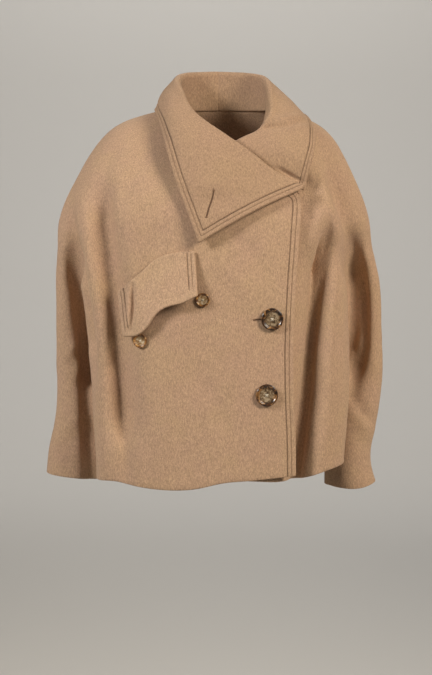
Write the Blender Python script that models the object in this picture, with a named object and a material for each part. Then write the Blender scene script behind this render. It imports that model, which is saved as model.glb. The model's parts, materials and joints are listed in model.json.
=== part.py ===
"""Short double-breasted wool coat with kimono sleeves, a deep fold-over collar and a slanted chest flap.

It keeps the hollow form of a coat that is worn. Metres, +Z up, the front faces -Y and the wearer's right is
at -X. The origin is at the base of the neck, between the shoulders that carry the coat.
Every size in the tables is in millimetres. The fronts and the back are cut in one with their half of the
sleeve, so the seams run over the shoulder and arm, and from the cuff up the underarm and down the side.
"""

import math

import bmesh
import bpy
import numpy as np
from mathutils import Vector
from mathutils.bvhtree import BVHTree

MM = 0.001

# Cloth and seams
CLOTH = 3.0
COLLAR_CLOTH = 5.0
FLAP_CLOTH = 4.5
SEAM_GAP = 0.4
COLLAR_REST = 2.0
COLLAR_SEAM = 0.7

# Levels that the rows of the cloth follow
UNDERARM = -492.0
YOKE = -190.0
HEM = -640.0
LOWER_ROWS = 7
MIDDLE_ROWS = 13
YOKE_ROWS = 8

# Columns of each panel: across the body, and across its half of the sleeve
FRONT_BODY_COLUMNS = 21
FRONT_SLEEVE_COLUMNS = 8
BACK_BODY_COLUMNS = 11
BACK_SLEEVE_COLUMNS = 7

OVERARM_DEPTH = 10.0
FRONT_ROUNDNESS = 2.35
BACK_ROUNDNESS = 2.3
SLEEVE_SEAM_GAP = 7.0
UNDERARM_RISE = 110.0
# Where the seams meet under the arm they part further, and the back's cloth leans in to its narrow valley
UNDERARM_GAP = 1.2
UNDERARM_REACH = 200.0
UNDERARM_BELOW = 45.0
BACK_TURN = 0.47
# How far past the middle a front's rows are laid out, and the height where the collar seam starts on its edge
LAP_REACH = 175.0
COLLAR_START = -136.0

CAMEL = (0.49, 0.29, 0.165, 1.0)
CAMEL_DEEP = (0.45, 0.265, 0.15, 1.0)
HORN = (0.12, 0.07, 0.035, 1.0)


def table(columns, *rows):
    """A table with named columns, as one array for each column, lowest height first."""
    ordered = sorted(rows, key=lambda row: row[0])
    return dict(zip(columns.split(), np.array(ordered, float).T))


SECTION = "height ridge_x ridge_y valley_x valley_y sleeve_x sleeve_y outer_x"

# The front of each side, seen from above: the body's widest ridge, the valley behind it, the sleeve's
# foremost line and its outermost line. Below the underarm the valley is the side seam instead.
FRONT_SECTIONS = {
    "right": table(
        SECTION,
        (-650, 216, -64, 187, 22, 252, -32, 313),
        (-600, 217, -64, 186, 26, 249, -30, 309),
        (-550, 220, -64, 185, 31, 244, -29, 297),
        (-492, 224, -63, 184, 36, 243, -27, 292),
        (-440, 228, -62, 214, 20, 254, -24, 293),
        (-380, 233, -60, 238, 0, 264, -25, 292),
        (-310, 241, -56, 252, -12, 269, -26, 292),
        (-250, 254, -48, 264, -14, 276, -22, 291),
        (-190, 270, -30, 276, -10, 281, -10, 287),
    ),
    "left": table(
        SECTION,
        (-665, 223, -64, 187, 25, 240, -31, 297),
        (-600, 226, -64, 186, 29, 236, -29, 277),
        (-550, 229, -64, 185, 33, 240, -27, 287),
        (-492, 232, -64, 184, 38, 246, -24, 297),
        (-440, 233, -64, 220, 26, 262, -18, 299),
        (-380, 230, -64, 247, 10, 275, -14, 296),
        (-310, 227, -64, 243, 8, 271, -14, 294),
        (-240, 219, -62, 235, 2, 264, -18, 285),
        (-190, 211, -59, 227, -8, 252, -26, 273),
    ),
}

BACK_SECTIONS = {
    "right": table(
        SECTION,
        (-650, 196, 94, 187, 22, 250, 76, 313),
        (-600, 197, 94, 186, 26, 248, 78, 309),
        (-550, 197, 94, 185, 31, 243, 80, 297),
        (-492, 198, 94, 184, 36, 242, 82, 292),
        (-440, 205, 91, 208, 46, 250, 76, 293),
        (-380, 216, 86, 228, 50, 259, 67, 292),
        (-310, 222, 80, 246, 44, 266, 58, 292),
        (-250, 236, 68, 256, 38, 272, 46, 291),
        (-190, 256, 46, 268, 30, 278, 30, 287),
    ),
    "left": table(
        SECTION,
        (-665, 196, 94, 187, 25, 242, 78, 297),
        (-600, 197, 94, 186, 29, 236, 80, 277),
        (-550, 197, 94, 185, 33, 240, 82, 287),
        (-492, 198, 94, 184, 38, 245, 84, 297),
        (-440, 205, 91, 210, 48, 254, 78, 299),
        (-380, 217, 86, 232, 50, 262, 69, 296),
        (-310, 218, 80, 244, 44, 266, 58, 294),
        (-250, 222, 68, 246, 38, 264, 46, 287),
        (-190, 228, 46, 246, 30, 260, 30, 273),
    ),
}

# How far the cloth stands off the middle of the figure at each height
BODY_DEPTH = table(
    "height front back",
    (-665, 164, 150),
    (-560, 163, 146),
    (-440, 161, 140),
    (-320, 159, 132),
    (-240, 155, 126),
    (-190, 150, 122),
)

# Above the yoke line the rows rise to the shoulder at the sides and close in on the neck
SHOULDER_LINE = {
    "right": table(
        "share x height split_x",
        (0.00, 287, -190, 258),
        (0.08, 281, -166, 252),
        (0.23, 260, -123, 234),
        (0.39, 238, -80, 212),
        (0.56, 208, -38, 182),
        (0.66, 186, -15, 162),
        (0.76, 158, -3, 138),
        (0.88, 124, 6, 108),
        (1.00, 92, 13, 80),
    ),
    "left": table(
        "share x height split_x",
        (0.00, 273, -190, 238),
        (0.09, 267, -166, 230),
        (0.25, 250, -121, 213),
        (0.40, 231, -80, 203),
        (0.55, 208, -39, 184),
        (0.66, 188, -16, 166),
        (0.76, 162, -3, 142),
        (0.88, 126, 6, 110),
        (1.00, 92, 13, 80),
    ),
}
YOKE_MIDDLE = table(
    "share front front_height back back_height",
    (0.0, 150, -190, 122, -190),
    (0.2, 147, -172, 119, -148),
    (0.4, 142, -154, 113, -106),
    (0.6, 135, -136, 104, -66),
    (0.8, 125, -118, 90, -28),
    (1.0, 112, -100, 70, 14),
)

# Front edges and, above them, the slanted line where the collar takes over
RIGHT_EDGE = table(
    "height x",
    (-625, 133),
    (-560, 132),
    (-490, 129),
    (-405, 128),
    (-336, 130),
    (-268, 134),
    (-199, 139),
    (-160, 142),
    (-141, 142),
    (-118, 102),
    (-103, 68),
    (-95, 40),
    (-91, 8),
    (-88, -30),
)
LEFT_EDGE = table(
    "height x",
    (-640, -96),
    (-175, -98),
    (-150, -66),
    (-125, -20),
    (-104, 6),
    (-60, 12),
    (10, 20),
)

# Height of the lower edge across the width, from the wearer's right to the left
RIGHT_HEM = table(
    "x height",
    (-216, -637),
    (-184, -632),
    (-150, -639),
    (-117, -643),
    (-83, -645),
    (-31, -641),
    (8, -631),
    (38, -629),
    (89, -625),
    (133, -621),
)
LEFT_HEM = table(
    "x height", (-110, -626), (60, -630), (137, -634), (168, -622), (196, -614), (226, -608)
)
BACK_HEM = table(
    "x height", (-216, -637), (-120, -648), (0, -652), (120, -640), (226, -608)
)
CUFF_HEM = {
    "right": table("x height", (187, -651), (218, -649), (266, -644), (313, -640)),
    "left": table("x height", (187, -664), (220, -664), (247, -665), (297, -653)),
}

# Soft vertical folds: panel, column of the net that runs along it, depth, half-width, the heights where it
# fades out at the top and at the foot, and its path
FOLD_PATH = "height x"
FOLDS = (
    ("right_front", 13, 30, 17, -95, -585, table(
        FOLD_PATH,
        (-97, -206), (-209, -201), (-270, -192), (-320, -182),
        (-373, -175), (-430, -171), (-493, -168), (-620, -160),
    )),
    ("left_front", 9, 46, 12.5, -170, -700, table(
        FOLD_PATH,
        (-150, 197), (-213, 192), (-272, 183), (-326, 175),
        (-402, 166), (-481, 158), (-574, 144), (-640, 138),
    )),
    ("back_right", 7, 24, 20, -120, -620, table(FOLD_PATH, (-120, -170), (-300, -164), (-620, -146))),
    ("back_left", 7, 26, 20, -140, -620, table(FOLD_PATH, (-120, 168), (-300, 160), (-620, 144))),
)
# The same without a column of their own: panel, depth (a ridge is below 0), half-width, top, foot and path
SHALLOW_FOLDS = (
    ("right_front", -14, 13, -160, -690, table(
        FOLD_PATH,
        (-200, -225), (-270, -215), (-373, -201), (-493, -196), (-620, -194),
    )),
    ("left_front", 27, 19, -40, -300, table(
        FOLD_PATH,
        (-50, 186), (-77, 202), (-122, 214), (-175, 234), (-240, 247), (-330, 250),
    )),
    ("right_front", 21, 13, -115, -505, table(
        FOLD_PATH,
        (-115, -272), (-190, -266), (-240, -254), (-287, -244), (-330, -238),
        (-377, -232), (-430, -228), (-492, -226),
    )),
    ("left_front", 26, 15, -230, -510, table(FOLD_PATH, (-230, 245), (-330, 248), (-400, 249), (-492, 246))),
    ("right_front", 6, 30, -150, -340, table(FOLD_PATH, (-150, -100), (-240, -120), (-340, -134))),
    ("back", 9, 36, -180, -680, table(FOLD_PATH, (-160, -48), (-400, -64), (-650, -80))),
    ("back", 9, 36, -200, -680, table(FOLD_PATH, (-160, 52), (-400, 66), (-650, 84))),
)

# The under front lies this far inside the upper one: low down, and where the collar passes between them. From
# a little past the edge that covers it, it comes back out
UNDERLAP = 8.5
UNDERLAP_AT_COLLAR = 20.0
UNDERLAP_PAST = 8.0
UNDERLAP_RETURN = 46.0
COVER_EDGE = table(
    "height x",
    (-660, 132),
    (-405, 128),
    (-200, 140),
    (-140, 144),
    (-127, 150),
    (-101, 112),
    (-65, 66),
    (-34, 22),
    (-11, -14),
)

# The collar's roll line and outer edge, from the front end of each half to the middle of the back
COLLAR_COLUMNS = "share x y z"
ROLL_LINES = {
    "right": table(
        COLLAR_COLUMNS,
        (0.00, 148, -130, -127),
        (0.12, 105, -128, -101),
        (0.25, 57, -120, -65),
        (0.37, 12, -112, -34),
        (0.46, -22, -98, -11),
        (0.55, -48, -76, 14),
        (0.64, -60, -48, 42),
        (0.74, -70, -12, 64),
        (0.84, -62, 28, 78),
        (0.92, -38, 58, 83),
        (1.00, 0, 72, 85),
    ),
    "left": table(
        COLLAR_COLUMNS,
        (0.00, 20, -86, -52),
        (0.10, 41, -87, -39),
        (0.22, 70, -83, -25),
        (0.32, 83, -72, -7),
        (0.42, 91, -58, 13),
        (0.52, 90, -38, 36),
        (0.62, 87, -12, 57),
        (0.74, 78, 22, 74),
        (0.87, 46, 56, 82),
        (1.00, 0, 72, 85),
    ),
}
OUTER_EDGES = {
    "right": table(
        COLLAR_COLUMNS,
        (0.00, -32, -170, -218),
        (0.14, -50, -158, -170),
        (0.30, -74, -138, -106),
        (0.46, -92, -104, -46),
        (0.60, -104, -56, -8),
        (0.72, -112, 4, 8),
        (0.82, -104, 62, 0),
        (0.91, -64, 104, -18),
        (1.00, 0, 118, -28),
    ),
    "left": table(
        COLLAR_COLUMNS,
        (0.00, 147, -108, -130),
        (0.12, 156, -108, -94),
        (0.28, 167, -92, -54),
        (0.44, 168, -58, -26),
        (0.60, 156, -8, -6),
        (0.75, 124, 48, -4),
        (0.88, 70, 96, -16),
        (1.00, 0, 118, -28),
    ),
}
# Bow of the front end of each half, up from the straight line between roll and point
END_BOW = {"right": 4.0, "left": 0.0}
ROLL_RADIUS = 8.0
LAPEL_STAND = 6.0
# Between these shares the roll leaves the front's slanted edge and follows its own line round the neck
ROLL_LEAVES = {"right": (0.06, 0.24), "left": (-1.0, -0.5)}
FALL_BELLY = {"right": 10.0, "left": 8.0}
# How much each round of smoothing eases the fall
FALL_EASE = 0.35
# Where the right side covers the left collar, and how far below a point its cover is felt for
COVERED_WIDTH = 165.0
COVERED_FRONT = -40.0
COVER_FEELERS = ((0, COLLAR_REST), (9, COLLAR_REST), (18, COLLAR_REST - 2))
COLLAR_LENGTH_STEPS = 24
STAND_STEPS = 3
ROLL_STEPS = 5
FALL_STEPS = 8

# Chest flap: its top seam and its lower edge, from the centre towards the sleeve, and how it lifts
FLAP_TOP = table(
    "share x height",
    (0.00, -41, -237),
    (0.22, -70, -239),
    (0.50, -106, -250),
    (0.75, -133, -275),
    (1.00, -172, -306),
)
FLAP_EDGE = table(
    "share x height",
    (0.00, -37, -308),
    (0.18, -60, -320),
    (0.40, -92, -329),
    (0.56, -109, -342),
    (0.70, -122, -362),
    (0.84, -139, -377),
    (1.00, -163, -380),
)
FLAP_LIFT = table("share lift", (0.0, 17), (0.25, 13), (0.5, 11.5), (0.75, 11), (1.0, 8))
# Where the cloth under it drops into a fold the flap falls back by no more than this share of its way across
FLAP_FALL = 0.55
FLAP_COLUMNS = 16
FLAP_ROWS = 7

# Buttons: centre across, height, diameter, and how far the back of the button stands off the cloth
BUTTONS = {
    "button_upper": (92, -351, 38.0, 0.8),
    "button_lower": (83, -481, 38.0, 0.8),
    "button_flap_inner": (-26, -318, 24.0, 0.8),
    "button_flap_outer": (-133, -388.5, 24.0, 0.6),
}


def lookup(columns, key, name, at):
    """A smooth value between the rows of a table, held constant past its ends."""
    xs, ys = columns[key], columns[name]
    at = np.clip(np.asarray(at, float), xs[0], xs[-1])
    slopes = np.gradient(ys, xs)
    steps = np.diff(ys) / np.diff(xs)
    flat = np.zeros(len(xs), bool)
    flat[1:-1] = steps[:-1] * steps[1:] <= 0
    slopes = np.where(flat, 0.0, slopes)
    i = np.clip(np.searchsorted(xs, at, side="right") - 1, 0, len(xs) - 2)
    span = xs[i + 1] - xs[i]
    t = (at - xs[i]) / span
    rise = ys[i + 1] - ys[i]
    a = slopes[i] * span - rise
    b = rise - slopes[i + 1] * span
    return ys[i] + t * rise + t * (1 - t) * (a * (1 - t) + b * t)


def smoothstep(low, high, value):
    t = np.clip((value - low) / (high - low), 0.0, 1.0)
    return t * t * (3 - 2 * t)


def unit(vectors):
    return vectors / np.maximum(np.linalg.norm(vectors, axis=-1, keepdims=True), 1e-9)


def bezier(a, b, c, d, count):
    t = np.linspace(0, 1, count)[:, None]
    a, b, c, d = (np.asarray(p, float) for p in (a, b, c, d))
    return a * (1 - t) ** 3 + 3 * b * t * (1 - t) ** 2 + 3 * c * t * t * (1 - t) + d * t**3


def superarc(width, depth, middle_y, face, roundness, count=60):
    """From the middle of the front or back to the widest point: a quarter of a rounded oval, from above."""
    angle = np.linspace(0, math.pi / 2, count)
    x = width * np.sin(angle) ** (2 / roundness)
    y = middle_y + face * depth * np.cos(angle) ** (2 / roundness)
    return np.column_stack([x, y])


def places_along(line):
    return np.concatenate([[0], np.cumsum(np.linalg.norm(np.diff(line, axis=0), axis=1))])


def at_places(line, places):
    along = places_along(line)
    return np.column_stack([np.interp(places, along, line[:, k]) for k in range(line.shape[1])])


def spaced(line, count):
    """That many evenly spaced points along a line."""
    return at_places(line, np.linspace(0, 1, count) * places_along(line)[-1])


def columns_along(lines, shares, count, ease, knots):
    """The points of every column on every row's line, evened out from row to row.

    Ease packs the columns towards the end of the line. Each knot is a column, its half-width and a path of x
    for each height: that column is set on the path and its neighbours half a width either side. Up the yoke,
    as the share grows, the knots let go.
    """
    even = np.linspace(0, 1, count)
    even = even + ease * even * (1 - even)
    placed, middles = [], []
    for line, share in zip(lines, shares):
        along = places_along(line)
        side = np.sign(line[-1, 0])
        wanted = even * along[-1]
        hold = 1 - smoothstep(0.0, 0.75, share)
        columns, places = [0], [0.0]
        for column, half_width, path in knots:
            past = side * (line[:, 0] - lookup(path, "height", "x", line[:, 2]))
            hit = int(np.argmax(past > 0))
            for step in (-1, 0, 1):
                place = along[hit] + step * half_width
                columns.append(column + step)
                places.append(hold * place + (1 - hold) * wanted[column + step])
        wanted = np.interp(np.arange(count), columns + [count - 1], places + [along[-1]])
        middle = np.interp(0.0, side * line[:, 0], along)
        placed.append(wanted - middle)
        middles.append(middle)
    placed = np.array(placed)
    ends = placed[:, [0, -1]].copy()
    least = np.minimum(6.0, 0.5 * (ends[:, 1] - ends[:, 0]) / (count - 1))
    for _ in range(8):
        placed[1:-1] = 0.25 * placed[:-2] + 0.5 * placed[1:-1] + 0.25 * placed[2:]
        placed[:, [0, -1]] = ends
        for j in range(1, count - 1):
            placed[:, j] = np.maximum(placed[:, j], placed[:, j - 1] + least)
        for j in range(count - 2, 0, -1):
            placed[:, j] = np.minimum(placed[:, j], placed[:, j + 1] - least)
    return [at_places(line, place + middle) for line, place, middle in zip(lines, placed, middles)]


def valley_lines(columns, height, middle, face, roundness):
    """The body's line up to its valley or side seam, and the sleeve's line from there to the overarm seam."""
    row = {name: float(lookup(columns, "height", name, height)) for name in columns if name != "height"}
    joined = float(smoothstep(UNDERARM, UNDERARM + UNDERARM_RISE, height))
    ridge = np.array([row["ridge_x"], row["ridge_y"]])
    valley = np.array([row["valley_x"], row["valley_y"]])
    crown = np.array([row["sleeve_x"], row["sleeve_y"]])
    outer = np.array([row["outer_x"], OVERARM_DEPTH])
    start = valley + [SLEEVE_SEAM_GAP * float(smoothstep(UNDERARM, UNDERARM - 40, height)), 0]
    reach = abs(valley[1] - ridge[1])
    away = np.array([0, -face]) * reach
    body = superarc(ridge[0], face * (middle - ridge[1]), ridge[1], face, roundness)
    across = max(6.0, 0.5 * abs(valley[0] - ridge[0]))
    into = valley - np.array([10 + joined * (across - 10), 0]) - (1 - joined) * 0.5 * away
    body = np.vstack([body[:-1], bezier(ridge, ridge + 0.42 * away, into, valley, 18)])
    back_out = 0.5 * abs(crown[1] - start[1])
    aside = 14 + joined * (0.4 * (crown[0] - start[0]) - 14)
    out_of = start + np.array([aside, (1 - joined) * face * back_out])
    inner = bezier(start, out_of, crown - [0.5 * (crown[0] - start[0]), 0], crown, 18)
    angle = np.linspace(0, math.pi / 2, 16)
    arc = np.column_stack([
        crown[0] + (outer[0] - crown[0]) * np.sin(angle),
        outer[1] + (crown[1] - outer[1]) * np.cos(angle),
    ])
    return body, np.vstack([inner[:-1], arc])


def plain_lines(outer_x, middle, face, roundness, split_x):
    """The same two lines where there is no valley: one arc, split at a given distance from the middle."""
    arc = superarc(outer_x, face * (middle - OVERARM_DEPTH), OVERARM_DEPTH, face, roundness, 160)
    cut = int(np.searchsorted(arc[:, 0], split_x))
    return arc[: cut + 1], arc[cut:]


class Row:
    """One row of the cloth round one side: where it lies, and its height from the side to the middle."""

    def __init__(self, number):
        self.number = number
        self.share = 0.0
        if number <= LOWER_ROWS:
            self.height = UNDERARM + (1 - number / LOWER_ROWS) * (HEM - UNDERARM)
        elif number <= LOWER_ROWS + MIDDLE_ROWS:
            self.height = UNDERARM + (number - LOWER_ROWS) / MIDDLE_ROWS * (YOKE - UNDERARM)
        else:
            self.height = YOKE
            self.share = (number - LOWER_ROWS - MIDDLE_ROWS) / YOKE_ROWS

    def middle(self, face):
        name = "front" if face < 0 else "back"
        if self.share > 0:
            return face * float(lookup(YOKE_MIDDLE, "share", name, self.share))
        return face * float(lookup(BODY_DEPTH, "height", name, self.height))

    def lines(self, side, face):
        """The body's and the sleeve's line of this row on one side, in plan, with x counted outward."""
        sections = (FRONT_SECTIONS if face < 0 else BACK_SECTIONS)[side]
        roundness = FRONT_ROUNDNESS if face < 0 else BACK_ROUNDNESS
        middle = self.middle(face)
        body, sleeve = valley_lines(sections, self.height, middle, face, roundness)
        split = float(lookup(SHOULDER_LINE[side], "share", "split_x", self.share))
        if self.share > 0:
            outer = float(lookup(SHOULDER_LINE[side], "share", "x", self.share))
            return plain_lines(outer, middle, face, roundness - 0.3 * self.share, split)
        plain = float(smoothstep(YOKE - 115, YOKE, self.height))
        if plain == 0:
            return body, sleeve
        flat_body, flat_sleeve = plain_lines(float(sections["outer_x"][-1]), middle, face, roundness, split)
        count = 90
        body = (1 - plain) * spaced(body, count) + plain * spaced(flat_body, count)
        sleeve = (1 - plain) * spaced(sleeve, count) + plain * spaced(flat_sleeve, count)
        return body, sleeve

    def heights(self, x, side, face):
        """The height of this row at each x, before the hem is shaped."""
        if self.share == 0:
            return np.full(len(x), self.height)
        line = SHOULDER_LINE[side]
        outer = float(lookup(line, "share", "x", self.share))
        at_side = float(lookup(line, "share", "height", self.share))
        name = "front_height" if face < 0 else "back_height"
        at_middle = float(lookup(YOKE_MIDDLE, "share", name, self.share))
        return at_side + (at_middle - at_side) * np.clip(1 - (x / outer) ** (2 + 0.9 * self.share), 0, 1)


def row_lines(row, side, face, edge):
    """One row's body line and sleeve line in the coat's frame."""
    sign = -1 if side == "right" else 1
    other = "left" if side == "right" else "right"
    body, sleeve = row.lines(side, face)
    if edge is not None:
        across = row.lines(other, face)[0]
        across = across[across[:, 0] < LAP_REACH][::-1] * [-1, 1]
        body = np.vstack([across[:-1], body])
    body3 = np.column_stack([body[:, 0], body[:, 1], np.zeros(len(body))])
    near = body3[:, 0] >= 0
    body3[near, 2] = row.heights(body3[near, 0], side, face)
    body3[~near, 2] = row.heights(-body3[~near, 0], other, face)
    sleeve3 = np.column_stack([sleeve, row.heights(sleeve[:, 0], side, face)])
    body3[:, 0] *= sign
    sleeve3[:, 0] *= sign
    if edge is not None:
        body3 = start_at_edge(body3, edge, sign)
    return body3, sleeve3


def start_at_edge(line, edge, sign):
    """Cuts a row where it meets the front edge or the roll line, a table of x for each height."""
    past = sign * (line[:, 0] - lookup(edge, "height", "x", line[:, 2]))
    outside = np.nonzero(past < 0)[0]
    if not len(outside):
        return line
    last = int(outside[-1])
    if last + 1 >= len(line):
        return line[-2:]
    share = past[last] / (past[last] - past[last + 1])
    return np.vstack([line[last] + share * (line[last + 1] - line[last]), line[last + 1 :]])


class Panel:
    """A piece of cloth as a net of outer points, with a slit below the underarm between body and sleeve."""

    def __init__(self):
        self.points = []
        self.faces = []

    def add(self, point):
        self.points.append(np.array(point, float))
        return len(self.points) - 1

    def net(self, rows):
        """Faces between rows of equal length, given as lists of point numbers."""
        for low, high in zip(rows, rows[1:]):
            for j in range(len(low) - 1):
                self.faces.append((low[j], low[j + 1], high[j + 1], high[j]))

    def array(self):
        return np.array(self.points)

    def normals(self):
        """Outward unit normals at the points, with every face counted alike."""
        points = self.array()
        corners = points[np.array(self.faces)]
        across = unit(np.cross(corners[:, 2] - corners[:, 0], corners[:, 3] - corners[:, 1]))
        total = np.zeros_like(points)
        for k in range(4):
            np.add.at(total, np.array(self.faces)[:, k], across)
        return unit(total)


def half_panel(panel, name, side, face, edge, columns, hem, ease, middle_points=None):
    """Adds one side's rows to a panel and returns the numbers of its body points and sleeve points."""
    rows = [Row(number) for number in range(LOWER_ROWS + MIDDLE_ROWS + YOKE_ROWS + 1)]
    lines = [row_lines(row, side, face, edge) for row in rows]
    knots = [(fold[1], fold[3], fold[6]) for fold in FOLDS if fold[0] == name]
    shares = [row.share for row in rows]
    bodies = columns_along([body for body, _ in lines], shares, columns[0] + 1, ease, knots)
    sleeves = [spaced(sleeve, columns[1] + 1) for _, sleeve in lines]
    body_rows, sleeve_rows = [], []
    for number, (body, sleeve) in enumerate(zip(bodies, sleeves)):
        if number < LOWER_ROWS:
            down = 1 - number / LOWER_ROWS
            body[:, 2] = UNDERARM + down * (lookup(hem, "x", "height", body[:, 0]) - UNDERARM)
            cuff = lookup(CUFF_HEM[side], "x", "height", abs(sleeve[:, 0]))
            sleeve[:, 2] = UNDERARM + down * (cuff - UNDERARM)
        if middle_points is None:
            ids = [panel.add(p) for p in body]
        else:
            if number >= len(middle_points):
                middle_points.append(panel.add(body[0]))
            ids = [middle_points[number]] + [panel.add(p) for p in body[1:]]
        first = ids[-1] if number >= LOWER_ROWS else panel.add(sleeve[0])
        body_rows.append(ids)
        sleeve_rows.append([first] + [panel.add(p) for p in sleeve[1:]])
    turned = (side == "right") == (face < 0)
    for grid in (body_rows, sleeve_rows):
        panel.net([r[::-1] for r in grid] if turned else grid)
    return body_rows, sleeve_rows


def fold_cloth(panel, names):
    """Sinks the soft folds of a panel along the cloth's own normals."""
    points, normals = panel.array(), panel.normals()
    folds = [fold[:1] + fold[2:] for fold in FOLDS] + list(SHALLOW_FOLDS)
    sink = np.zeros(len(points))
    z = points[:, 2]
    for owner, depth, half_width, top, foot, path in folds:
        if owner in names:
            fade = smoothstep(top, top - 90, z) * smoothstep(foot, foot + 70, z)
            away = (points[:, 0] - lookup(path, "height", "x", z)) / half_width
            sink += depth * fade * np.exp(-away * away) * (normals[:, 1] * np.sign(points[:, 1]) > 0.2)
    panel.points = list(points - normals * sink[:, None])


def underlap(panel):
    """Sets the left front inside the right one, by more where the collar passes between them."""
    points = panel.array()
    start = lookup(COVER_EDGE, "height", "x", points[:, 2]) + UNDERLAP_PAST
    depth = UNDERLAP + (UNDERLAP_AT_COLLAR - UNDERLAP) * smoothstep(-215, -150, points[:, 2])
    under = 1 - smoothstep(start, start + UNDERLAP_RETURN, points[:, 0])
    points[:, 1] += depth * under
    panel.points = list(points)


def share_seams(first, first_ids, second, second_ids, normals):
    """Gives two panels one normal along their seam."""
    a, b = normals[id(first)], normals[id(second)]
    for i, j in zip(first_ids, second_ids):
        a[i] = b[j] = unit(a[i] + b[j])


def part_seam(panel, ids, beside, normals):
    """Draws a panel's seam back from its neighbour by half the seam gap, or more as it nears the underarm."""
    n = normals[id(panel)]
    for i, j in zip(ids, beside):
        inward = panel.points[j] - panel.points[i]
        inward = inward - n[i] * inward.dot(n[i])
        x, _, z = panel.points[i]
        near = abs(x) < UNDERARM_REACH and z > UNDERARM - UNDERARM_BELOW
        gap = UNDERARM_GAP if near else SEAM_GAP / 2
        panel.points[i] = panel.points[i] + unit(inward) * gap


def walled(name, panel, normals, thickness, material):
    """One closed solid: the net, its inner side at the cloth's thickness, and a rim round every edge."""
    points = panel.array()
    inner = points - normals * thickness
    count = len(points)
    faces = list(panel.faces)
    edges = {}
    for face in panel.faces:
        for a, b in zip(face, face[1:] + face[:1]):
            edges[(a, b)] = True
    rim = [(a, b) for a, b in edges if (b, a) not in edges]
    faces += [tuple(v + count for v in face[::-1]) for face in panel.faces]
    for a, b in rim:
        if points[a][2] < points[b][2]:
            faces += [(b, a, b + count), (a, a + count, b + count)]
        else:
            faces += [(b, a, a + count), (b, a + count, b + count)]
    return solid(name, np.vstack([points, inner]), faces, material)


def solid(name, points, faces, material):
    mesh = bpy.data.meshes.new(name)
    mesh.from_pydata([tuple(p * MM) for p in points], [], [tuple(int(v) for v in f) for f in faces])
    mesh.update()
    obj = bpy.data.objects.new(name, mesh)
    bpy.context.scene.collection.objects.link(obj)
    mesh.materials.append(material)
    shape = bmesh.new()
    shape.from_mesh(mesh)
    bmesh.ops.triangulate(shape, faces=shape.faces[:], quad_method="SHORT_EDGE")
    shape.to_mesh(mesh)
    shape.free()
    mesh.shade_smooth()
    mesh.set_sharp_from_angle(angle=math.radians(50))
    return obj


def finish(name, colour, roughness):
    material = bpy.data.materials.new(name)
    material.use_nodes = True
    shader = material.node_tree.nodes["Principled BSDF"]
    shader.inputs["Base Color"].default_value = colour
    shader.inputs["Roughness"].default_value = roughness
    shader.inputs["Metallic"].default_value = 0.0
    return material


def make_body(wool):
    """The right front, the left front beneath it, and the back."""
    right, left, back = Panel(), Panel(), Panel()
    front_columns = (FRONT_BODY_COLUMNS, FRONT_SLEEVE_COLUMNS)
    back_columns = (BACK_BODY_COLUMNS, BACK_SLEEVE_COLUMNS)
    rows = {
        "right": half_panel(right, "right_front", "right", -1, RIGHT_EDGE, front_columns, RIGHT_HEM, 0.35),
        "left": half_panel(left, "left_front", "left", -1, LEFT_EDGE, front_columns, LEFT_HEM, 0.35),
    }
    middle = []
    back_rows = {
        "right": half_panel(back, "back_right", "right", 1, None, back_columns, BACK_HEM, 0.3, middle),
        "left": half_panel(back, "back_left", "left", 1, None, back_columns, BACK_HEM, 0.3, middle),
    }
    fold_cloth(right, ("right_front",))
    fold_cloth(left, ("left_front",))
    fold_cloth(back, ("back", "back_right", "back_left"))
    underlap(left)
    panels = {"right": right, "left": left}
    for side, panel in panels.items():
        for front_ids, back_ids, _, _ in seams(rows[side], back_rows[side]):
            for i, j in zip(front_ids, back_ids):
                panel.points[i] = back.points[j] = (panel.points[i] + back.points[j]) / 2
    normals = {id(p): p.normals() for p in (right, left, back)}
    for side, panel in panels.items():
        for front_ids, back_ids, front_next, back_next in seams(rows[side], back_rows[side]):
            share_seams(panel, front_ids, back, back_ids, normals)
            part_seam(panel, front_ids, front_next, normals)
            part_seam(back, back_ids, back_next, normals)
        outward = -1 if side == "right" else 1
        corners = (
            (panel, rows[side][0][LOWER_ROWS][-1], -1, 0.0),
            (back, back_rows[side][0][LOWER_ROWS][-1], 1, BACK_TURN),
        )
        for piece, corner, face, turn in corners:
            normals[id(piece)][corner] = (outward * turn, face, 0)
            piece.points[corner] = piece.points[corner] + [0, face * (CLOTH + UNDERARM_GAP), 0]
    walled("front_right", right, normals[id(right)], CLOTH, wool)
    walled("front_left", left, normals[id(left)], CLOTH, wool)
    walled("back", back, normals[id(back)], CLOTH, wool)
    return Coat(panels, back, rows, back_rows, normals)


def seams(front, back):
    """The overarm seam, the side seam and the sleeve's inner seam: each panel's points, and those beside."""
    low = LOWER_ROWS
    yield (
        [r[-1] for r in front[1]], [r[-1] for r in back[1]],
        [r[-2] for r in front[1]], [r[-2] for r in back[1]],
    )
    yield (
        [r[-1] for r in front[0][:low]], [r[-1] for r in back[0][:low]],
        [r[-2] for r in front[0][:low]], [r[-2] for r in back[0][:low]],
    )
    yield (
        [r[0] for r in front[1][:low]], [r[0] for r in back[1][:low]],
        [r[1] for r in front[1][:low]], [r[1] for r in back[1][:low]],
    )


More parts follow.
